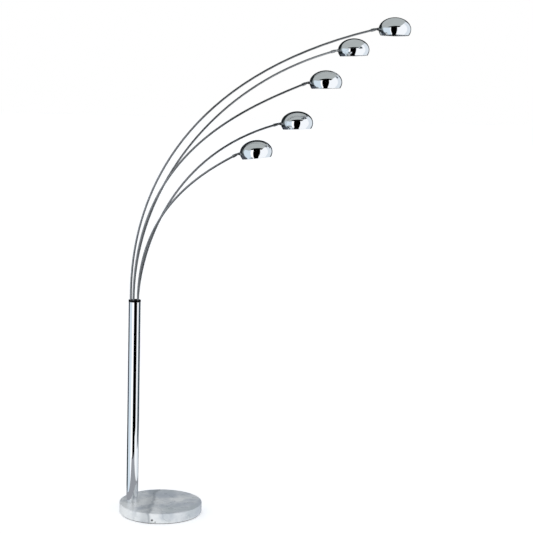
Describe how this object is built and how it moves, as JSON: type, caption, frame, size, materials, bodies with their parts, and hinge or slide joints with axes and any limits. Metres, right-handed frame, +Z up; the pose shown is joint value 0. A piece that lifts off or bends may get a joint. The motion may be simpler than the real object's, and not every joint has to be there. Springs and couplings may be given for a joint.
{
  "type": "arc floor lamp",
  "caption": "Floor lamp with a round marble base, a chrome column near its edge, and slim arc arms that swivel and end in tilting dome shades.",
  "frame": {"origin": "centre of the base's underside, on the floor", "axes": "+Z up along the column, +X from the column over the base towards the shades, +Y to the rear"},
  "size_m": [1.1366, 0.3741, 2.0453],
  "materials": {
    "chrome": "polished",
    "marble": "polished white with grey veins",
    "felt": "matt",
    "zinc_steel": "zinc plated",
    "black_plastic": "satin",
    "rubber": "matt",
    "ceramic": "plain",
    "bulb_glass": "clear"
  },
  "bodies": {
    "stand": {"base_pad": "felt", "marble_base": "marble", "column_tube": "chrome", "column_foot_plug": "zinc_steel", "tie_rod": "zinc_steel", "base_washer": "zinc_steel", "base_nut": "zinc_steel", "cord_bushing": "rubber", "top_collar": "black_plastic", "lower_guide": "black_plastic"},
    "arm_1": {"arm_tube_1": "chrome", "neck_sleeve_1": "chrome"},
    "knuckle_1": {"swivel_knuckle_1": "chrome"},
    "head_1": {"shade_fork_1": "chrome", "tilt_screw_1": "zinc_steel", "shade_nut_1": "zinc_steel", "shade_1": "chrome", "lamp_holder_1": "ceramic", "bulb_1": "bulb_glass"},
    "arm_2": {"arm_tube_2": "chrome", "neck_sleeve_2": "chrome"},
    "knuckle_2": {"swivel_knuckle_2": "chrome"},
    "head_2": {"shade_fork_2": "chrome", "tilt_screw_2": "zinc_steel", "shade_nut_2": "zinc_steel", "shade_2": "chrome", "lamp_holder_2": "ceramic", "bulb_2": "bulb_glass"},
    "arm_3": {"arm_tube_3": "chrome", "neck_sleeve_3": "chrome"},
    "knuckle_3": {"swivel_knuckle_3": "chrome"},
    "head_3": {"shade_fork_3": "chrome", "tilt_screw_3": "zinc_steel", "shade_nut_3": "zinc_steel", "shade_3": "chrome", "lamp_holder_3": "ceramic", "bulb_3": "bulb_glass"},
    "arm_4": {"arm_tube_4": "chrome", "neck_sleeve_4": "chrome"},
    "knuckle_4": {"swivel_knuckle_4": "chrome"},
    "head_4": {"shade_fork_4": "chrome", "tilt_screw_4": "zinc_steel", "shade_nut_4": "zinc_steel", "shade_4": "chrome", "lamp_holder_4": "ceramic", "bulb_4": "bulb_glass"},
    "arm_5": {"arm_tube_5": "chrome", "neck_sleeve_5": "chrome"},
    "knuckle_5": {"swivel_knuckle_5": "chrome"},
    "head_5": {"shade_fork_5": "chrome", "tilt_screw_5": "zinc_steel", "shade_nut_5": "zinc_steel", "shade_5": "chrome", "lamp_holder_5": "ceramic", "bulb_5": "bulb_glass"}
  },
  "joints": [
    {"name": "arm_swivel_1", "type": "hinge", "parent": "stand", "child": "arm_1", "pos_m": [-0.10506, -0.00941, 0.887], "axis": [0, 0, 1], "range_deg": [-30, 3]},
    {"name": "head_swivel_1", "type": "hinge", "parent": "arm_1", "child": "knuckle_1", "pos_m": [0.27076, -0.06893, 1.482], "axis": [0.8639, -0.1368, 0.4848], "range_deg": [-45, 45]},
    {"name": "head_tilt_1", "type": "hinge", "parent": "knuckle_1", "child": "head_1", "pos_m": [0.28311, -0.07088, 1.48893], "axis": [-0.1564, -0.9877, 0], "range_deg": [-25, 30]},
    {"name": "arm_swivel_2", "type": "hinge", "parent": "stand", "child": "arm_2", "pos_m": [-0.10506, 0.00941, 0.887], "axis": [0, 0, 1], "range_deg": [-3, 30]},
    {"name": "head_swivel_2", "type": "hinge", "parent": "arm_2", "child": "knuckle_2", "pos_m": [0.43694, 0.00941, 1.607], "axis": [0.9563, 0, 0.2924], "range_deg": [-45, 45]},
    {"name": "head_tilt_2", "type": "hinge", "parent": "knuckle_2", "child": "head_2", "pos_m": [0.45062, 0.00941, 1.61118], "axis": [0, -1, 0], "range_deg": [-25, 30]},
    {"name": "arm_swivel_3", "type": "hinge", "parent": "stand", "child": "arm_3", "pos_m": [-0.12294, -0.01522, 0.887], "axis": [0, 0, 1], "range_deg": [-30, 3]},
    {"name": "head_swivel_3", "type": "hinge", "parent": "arm_3", "child": "knuckle_3", "pos_m": [0.54044, -0.06161, 1.771], "axis": [0.9183, -0.0642, 0.3907], "range_deg": [-45, 45]},
    {"name": "head_tilt_3", "type": "hinge", "parent": "knuckle_3", "child": "head_3", "pos_m": [0.55357, -0.06252, 1.77659], "axis": [-0.0698, -0.9976, 0], "range_deg": [-25, 30]},
    {"name": "arm_swivel_4", "type": "hinge", "parent": "stand", "child": "arm_4", "pos_m": [-0.12294, 0.01522, 0.887], "axis": [0, 0, 1], "range_deg": [-3, 30]},
    {"name": "head_swivel_4", "type": "hinge", "parent": "arm_4", "child": "knuckle_4", "pos_m": [0.67719, 0.12767, 1.911], "axis": [0.947, 0.1331, 0.2924], "range_deg": [-45, 45]},
    {"name": "head_tilt_4", "type": "hinge", "parent": "knuckle_4", "child": "head_4", "pos_m": [0.69073, 0.12957, 1.91518], "axis": [0.1392, -0.9903, 0], "range_deg": [-25, 30]},
    {"name": "arm_swivel_5", "type": "hinge", "parent": "stand", "child": "arm_5", "pos_m": [-0.134, 0, 0.887], "axis": [0, 0, 1], "range_deg": [-30, 30]},
    {"name": "head_swivel_5", "type": "hinge", "parent": "arm_5", "child": "knuckle_5", "pos_m": [0.81392, -0.0331, 1.993], "axis": [0.9653, -0.0337, 0.2588], "range_deg": [-45, 45]},
    {"name": "head_tilt_5", "type": "hinge", "parent": "knuckle_5", "child": "head_5", "pos_m": [0.82773, -0.03358, 1.9967], "axis": [-0.0349, -0.9994, 0], "range_deg": [-25, 30]}
  ]
}
